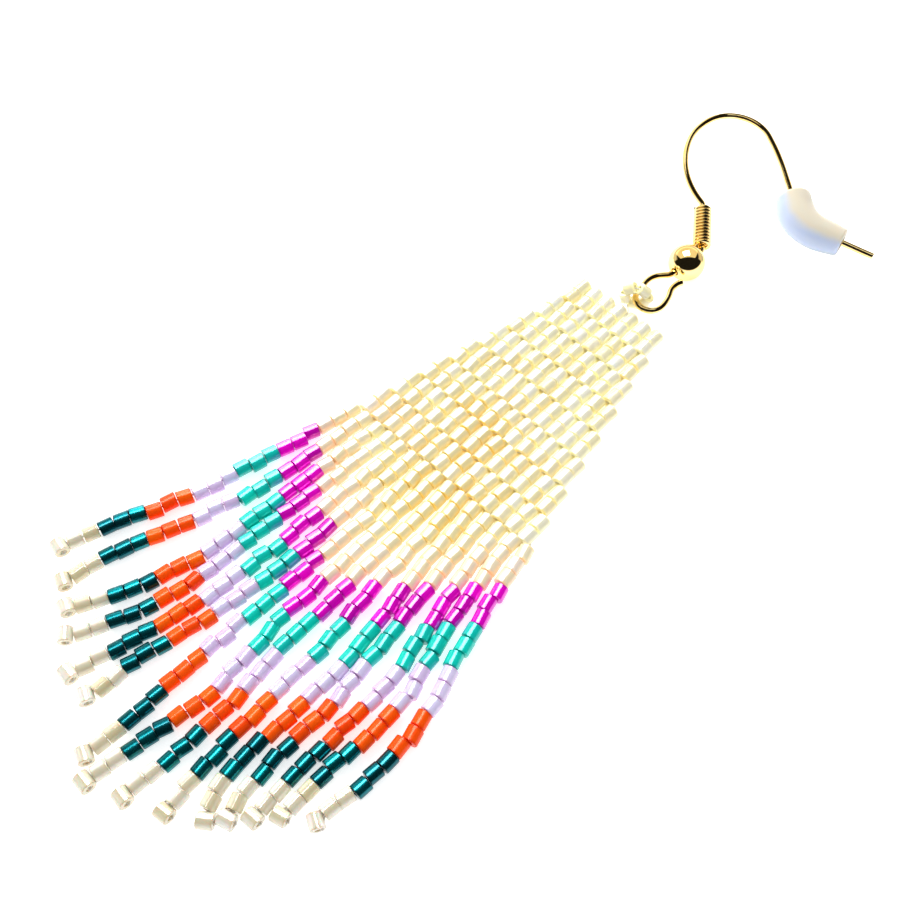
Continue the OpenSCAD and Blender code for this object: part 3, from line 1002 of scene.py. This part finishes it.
def lace(row):
    """Thread at the joint below a course: y = joint + reach * cos(2 pi x / column), which
    rises into the pairs above and dips into those below, half a column further on."""
    above = panel_x[row_of == row]
    x = np.linspace(above.min(), above.max(), (len(above) - 1) * LACE_STEPS + 1)
    y = row_y[row] - ROW / 2 + LACE_REACH * np.cos(2 * np.pi * (x - above[0]) / COLUMN)
    return tube(np.stack([x, y, 0 * x + THREAD_HEIGHT], -1), UP, THREAD_RADIUS,
                THREAD_SIDES, finish=1)


def pair_thread(x, y):
    """Thread that runs straight through the joint inside a pair, centred on a place."""
    return tube([(x, y + LACE_REACH, THREAD_HEIGHT), (x, y, THREAD_HEIGHT),
                 (x, y - LACE_REACH, THREAD_HEIGHT)], UP, THREAD_RADIUS, THREAD_SIDES,
                finish=1)


laces = [lace(row) for row in range(ROWS_IN_COURSE - 1, ROWS, ROWS_IN_COURSE)]
upper = row_of % ROWS_IN_COURSE == 0
laces += [pair_thread(x, row_y[row] - ROW / 2) for x, row in zip(panel_x[upper], row_of[upper])]

# %% Paint glow and pink bounce light on the panel
SIDE_SHARE = (panel_x - FOOT[0]) / (row_beads[-1] * COLUMN / 2)
HEIGHT_SHARE = (row_y[row_of] - row_y[-1]) / (row_y[0] - row_y[-1])


def soft_spot(side, height, side_reach, height_reach):
    """How far each bead is in a soft round spot: e to the power of minus the squares of its
    distances from the spot's middle, each over the spot's reach. Sides run from -1 to 1."""
    return np.exp(-((HEIGHT_SHARE - height) / height_reach) ** 2
                  - ((SIDE_SHARE - side) / side_reach) ** 2)


# painted golden glow on the panel's lower middle, and painted pink bounce light at its lower
# left corner
glow = soft_spot(side=-0.05, height=0.06, side_reach=0.62, height_reach=0.34)
pink_edge = 0.5 * soft_spot(side=-0.85, height=0.0, side_reach=0.4, height_reach=0.12)

# %% Place the panel's beads
PANEL_BEAD_LENGTH = 1.65
# each bead's random share of width, degrees of turn and tilt, millimetres of shift and of
# length, and slant of its cut ends
PANEL_UNEVEN = {"width": 0.014, "turn": 2.4, "tilt": 2.5, "across": 0.018, "down": 0.035,
                "lift": 0.03, "length": 0.04, "slant": 0.05}
# random tone on top of the painted glow and the painted pink bounce light
WARM_UNEVEN, BLUSH_UNEVEN = 0.24, 0.06
off = {name: uneven(PANEL_BEADS, size) for name, size in PANEL_UNEVEN.items()}
widths = BEAD_WIDTH * (1 + off["width"])
axis = turned(np.tile([0.0, -1.0, 0.0], (PANEL_BEADS, 1)), UP, np.radians(off["turn"]))
tip_up = np.tan(np.radians(off["tilt"]))[:, None]
axis, bead_up = unit(axis + tip_up * UP), unit(UP - tip_up * axis)
height = widths / 2 + ROW / 2 * np.abs(tip_up[:, 0]) + np.abs(off["lift"])
panel = beads(
    np.stack([panel_x + off["across"], row_y[row_of] + off["down"], height], -1),
    axis, bead_up, PANEL_BEAD_LENGTH + off["length"], widths, off["slant"],
    draw.random(PANEL_BEADS),
    warm=np.clip(glow + uneven(PANEL_BEADS, WARM_UNEVEN), 0, 1),
    blush=np.clip(pink_edge + uneven(PANEL_BEADS, BLUSH_UNEVEN), 0, 1))
make_piece("stitched_panel", [panel, *laces], [IVORY, THREAD], ["bead_panel"])

# %% [markdown]
# ## The bead loop
#
# Five small beads on a ring of thread hold the hook's eye, and two ends of that thread run
# down into the panel's top row. The ring's own solid says where it stands. Its beads point
# along the ring, so each axis is the ring's tangent.

# %% Thread the loop
LOOP_BEADS = 5
LOOP_RADIUS = 1.2
LOOP_BEAD_WIDTH = 1.3
LOOP_BEAD_LENGTH = 1.28
LOOP_UNEVEN = {"length": 0.03, "width": 0.02, "slant": 0.03}
LOOP_WARM = 0.1
RING_THREAD, RING_STEPS = 0.09, 40
TAIL_THREAD, TAIL_SIDES = 0.07, 6
TAIL_DEPTH, TAIL_RISE = 0.6, 0.15
LOOP_TURN = np.radians(30.0)
loop_low, loop_high = box_of("hanging_loop")
LOOP_CENTRE = (loop_low + loop_high) / 2
loop_way = np.array([np.cos(LOOP_TURN), np.sin(LOOP_TURN), 0.0])
loop_across = np.cross(loop_way, UP)


def on_loop(angle):
    """Points on the ring, counted from its lowest: centre + radius * (sin a * way - cos a *
    up)."""
    return (LOOP_CENTRE + LOOP_RADIUS * (np.sin(angle)[:, None] * loop_way
                                         - np.cos(angle)[:, None] * UP))


bead_angle = 2 * np.pi * np.arange(LOOP_BEADS) / LOOP_BEADS
tangent = np.cos(bead_angle)[:, None] * loop_way + np.sin(bead_angle)[:, None] * UP
off = {name: uneven(LOOP_BEADS, size) for name, size in LOOP_UNEVEN.items()}
ring_beads = beads(on_loop(bead_angle), tangent, np.tile(loop_across, (LOOP_BEADS, 1)),
                   LOOP_BEAD_LENGTH + off["length"], LOOP_BEAD_WIDTH + off["width"],
                   off["slant"], draw.random(LOOP_BEADS), warm=LOOP_WARM)
ring_thread = tube(on_loop(np.linspace(0, 2 * np.pi, RING_STEPS + 1)[:-1]), loop_across,
                   RING_THREAD, TAIL_SIDES, around=True, finish=1)


def eased(points, rounds):
    """Rounds a chain of points by cutting its corners: every edge is replaced by its
    quarter and three-quarter points, again and again, and the ends stay."""
    points = np.asarray(points, float)
    for _ in range(rounds):
        cut = np.stack([0.75 * points[:-1] + 0.25 * points[1:],
                        0.25 * points[:-1] + 0.75 * points[1:]], 1).reshape(-1, 3)
        points = np.concatenate([points[:1], cut, points[-1:]])
    return points


near_gap = on_loop(np.array([-np.pi / LOOP_BEADS]))[0]
inside = on_loop(np.array([0.0]))[0]
top_y = row_y[0] + ROW / 2
tails = [tube(eased([(x, top_y - TAIL_DEPTH, THREAD_HEIGHT),
                     (x, top_y + TAIL_RISE, THREAD_HEIGHT),
                     near_gap - 0.25 * loop_way, near_gap, inside], 3),
              UP, TAIL_THREAD, TAIL_SIDES, finish=1)
         for x in (FOOT[0] - COLUMN / 2, FOOT[0] + COLUMN / 2)]
make_piece("bead_loop", [ring_beads, ring_thread, *tails], [IVORY, THREAD], ["hanging_loop"])

# %% [markdown]
# ## The fringe
#
# Fifteen strands hang below the panel's fourteen lowest beads, under each joint between two
# of them and under both outer edges. A strand is cream, then three beads each of magenta,
# turquoise, lilac, orange and teal, two clear ones and a stop bead turned across, round
# which the thread goes back. The strands could be curves with beads strewn along them, but
# they lie in gentle bends that change with the colour, so a short table says which way each
# colour heads, and the beads follow it one pitch at a time.

# %% Lay out a strand
PITCH = 1.55
BAND = 3
END = 3
# cream beads, then degrees to the right of straight down at the panel, in each colour
# and at the tip
STRANDS = [
    (3, -10, -15, -12, -15, -22, -24, -18), (4, -8, -7, -13, -16, -21, -21, -8),
    (5, -6, -5, -5, -5, -13, -23, -29), (6, -5, -6, -4, -3, -12, -21, -26),
    (7, -3, -3, -6, -6, -11, -16, -14), (7, -2, -2, -4, -9, -12, -10, -4),
    (9, -1, -2, -5, 0, 1, -2, -3), (10, 0, -1, 5, 6, -3, -12, -10),
    (9, 1, 1, 2, 7, 1, -3, -5), (8, 3, 4, 6, 1, 1, 3, 7),
    (7, 4, 8, 9, 1, -6, 2, 24), (6, 5, 7, 9, 5, 1, -2, 14),
    (5, 6, 12, 10, 5, -1, -1, 4), (4, 7, 10, 16, 12, -3, -7, 4),
    (3, 11, 10, 16, 18, 7, -5, -8)]
FINISHES = [IVORY, MAGENTA, TURQUOISE, LILAC, ORANGE, TEAL, CLEAR, THREAD]
# the colours between the cream and the clear beads
BANDS = len(FINISHES) - 3


def strand_root(number):
    """Where a strand leaves the panel: under a joint between two columns or an outer edge."""
    return FOOT + [(number - (len(STRANDS) - 1) / 2) * COLUMN, 0, 0]


def strand_route(number):
    """Centre and heading of each bead. The heading runs evenly between the table's values,
    which hold at the middle of each colour, and the places are a running sum of steps."""
    cream, *headings = STRANDS[number]
    stations = [0, *(cream + BAND * (np.arange(BANDS) + 0.5)), cream + BAND * BANDS + END / 2]
    count = cream + BAND * BANDS + END
    heading = np.radians(np.interp(np.arange(count) + 0.5, stations, headings))
    way = np.stack([np.sin(heading), -np.cos(heading), 0 * heading], -1)
    return strand_root(number) + PITCH * (np.cumsum(way, 0) - way / 2), way


# %% Find room for stray beads
# millimetres between two strands' lines where their beads nearly touch, and how much more
# sets them free
CLOSE_BEADS = 1.5
FREE_GAP = 0.3
LEAST_ROOM = 0.25
BETWEEN_BEADS = (0, 0.25, 0.5, 0.75)


def room_beside(number):
    """How far each bead may stray to the side, as a share of its random shift: the gap to
    the beads' line in the next strands, over the gap that free strands have."""
    centre = strand_route(number)[0]
    room = np.full(len(centre), 1.0)
    for other in (number - 1, number + 1):
        if 0 <= other < len(STRANDS):
            line = strand_route(other)[0]
            step = np.diff(line, axis=0)
            line = np.concatenate([line[:-1] + share * step for share in BETWEEN_BEADS])
            apart = np.linalg.norm(centre[:, None] - line[None], axis=-1).min(axis=1)
            room = np.minimum(room, np.clip((apart - CLOSE_BEADS) / FREE_GAP, LEAST_ROOM, 1))
    return room


# %% Thread the strands
STRAND_WIDTH, STRAND_LENGTH = 1.52, 1.49
# uneven share of width, millimetres of length, degrees of turn, millimetres of shift to
# the side and slant of the cut ends, and the degrees that a stop bead may be off square
WIDTH_OFF, LENGTH_OFF, TURN_OFF, SHIFT_OFF, SLANT_OFF = 0.025, 0.035, 5.0, 0.12, 0.05
STOP_OFF = 24
# cream beads above the magenta that take painted pink bounce light
BLUSH_BEADS = 4
# the strand in the middle of the painted golden glow, how many strands and beads away it
# fades, and the chance of random tone on top
WARM_STRAND, WARM_REACH, WARM_DEPTH, WARM_CHANCE = 8, 3.6, 5, 0.3
CORE_RADIUS, CORE_SIDES, CORE_START = 0.08, 6, 0.5
THREAD_FINISH = FINISHES.index(THREAD)
# how the thread goes back round the stop bead: millimetres along the strand and across
STOP_ROUND = [(-0.9, 0.05), (-0.7, 0.2), (-0.1, 0.95), (0, 0.9), (0, -0.9), (-0.1, -0.95),
              (-0.7, -0.2), (-0.9, -0.05)]


def strand(number):
    """One strand: its beads, the stop bead across its tip, and the thread through them."""
    centre, way = strand_route(number)
    count, cream = len(centre), STRANDS[number][0]
    order = np.arange(count)
    colour = np.clip((order - cream) // BAND + 1, 0, BANDS + 1)
    width = STRAND_WIDTH * (1 + uneven(count, WIDTH_OFF))
    length = STRAND_LENGTH + uneven(count, LENGTH_OFF)
    yaw = np.radians(uneven(count, TURN_OFF))
    yaw[-1] = np.radians(90 + draw.uniform(-STOP_OFF, STOP_OFF))
    side = np.cross(UP, way)
    shift = uneven(count, SHIFT_OFF) * room_beside(number)
    centre = centre + side * shift[:, None] + UP * (width / 2)[:, None]
    # painted pink bounce light on the cream beads next to the magenta, and painted golden glow
    # round the middle strands near the panel, with random tone
    blush = np.clip(1 - (cream - 1 - order) / BLUSH_BEADS, 0, 1) * (order < cream)
    warm = np.exp(-((number - WARM_STRAND) / WARM_REACH) ** 2 - (order / WARM_DEPTH) ** 2)
    warm = warm + WARM_CHANCE * draw.random(count)
    strung = beads(centre, turned(way, UP, yaw), np.tile(UP, (count, 1)), length, width,
                   uneven(count, SLANT_OFF), draw.random(count), finish=colour,
                   warm=np.clip(warm, 0, 1), blush=blush)
    start = strand_root(number) + [0, CORE_START, THREAD_HEIGHT]
    core = tube(np.concatenate([start[None], centre[:-1]]), UP, CORE_RADIUS, CORE_SIDES,
                finish=THREAD_FINISH)
    back = tube(eased([centre[-1] + s * way[-1] + w * side[-1] for s, w in STOP_ROUND], 2),
                UP, THREAD_RADIUS, CORE_SIDES, finish=THREAD_FINISH)
    return [strung, core, back]


for number in range(len(STRANDS)):
    name = f"{number + 1:02d}"
    make_piece(f"bead_strand_{name}", strand(number), FINISHES, [f"fringe_strand_{name}"])

# %% [markdown]
# ## Which window lights what
#
# The ball lies higher than the beads and faces a different part of the room. A studio
# would move cards and flags about until each part has its own reflection. Light linking
# does that here: each shiny window is seen by the pieces named for it and no others.

# %% Link the windows


def link_window(name, pieces):
    """Shows a window only to pieces whose names start as given."""
    seen_by = bpy.data.collections.new(f"Lit by {name}")
    for piece in bpy.data.objects:
        if piece.name.startswith(pieces):
            seen_by.objects.link(piece)
    bpy.data.objects[name].light_linking.receiver_collection = seen_by


SEEN_BY = [
    # windows, and how the names of the pieces that see them start
    (("Skylight", "Side window"), ("bead_", "stitched_panel")),
    (("Small window", "Far glow"), ("hook_ball",)),
    (("Left glow",), ("hook_coil",)),
    (("Low glow", "High glow"), ("ear_hook",))]
for windows, pieces in SEEN_BY:
    for name in windows:
        link_window(name, pieces)
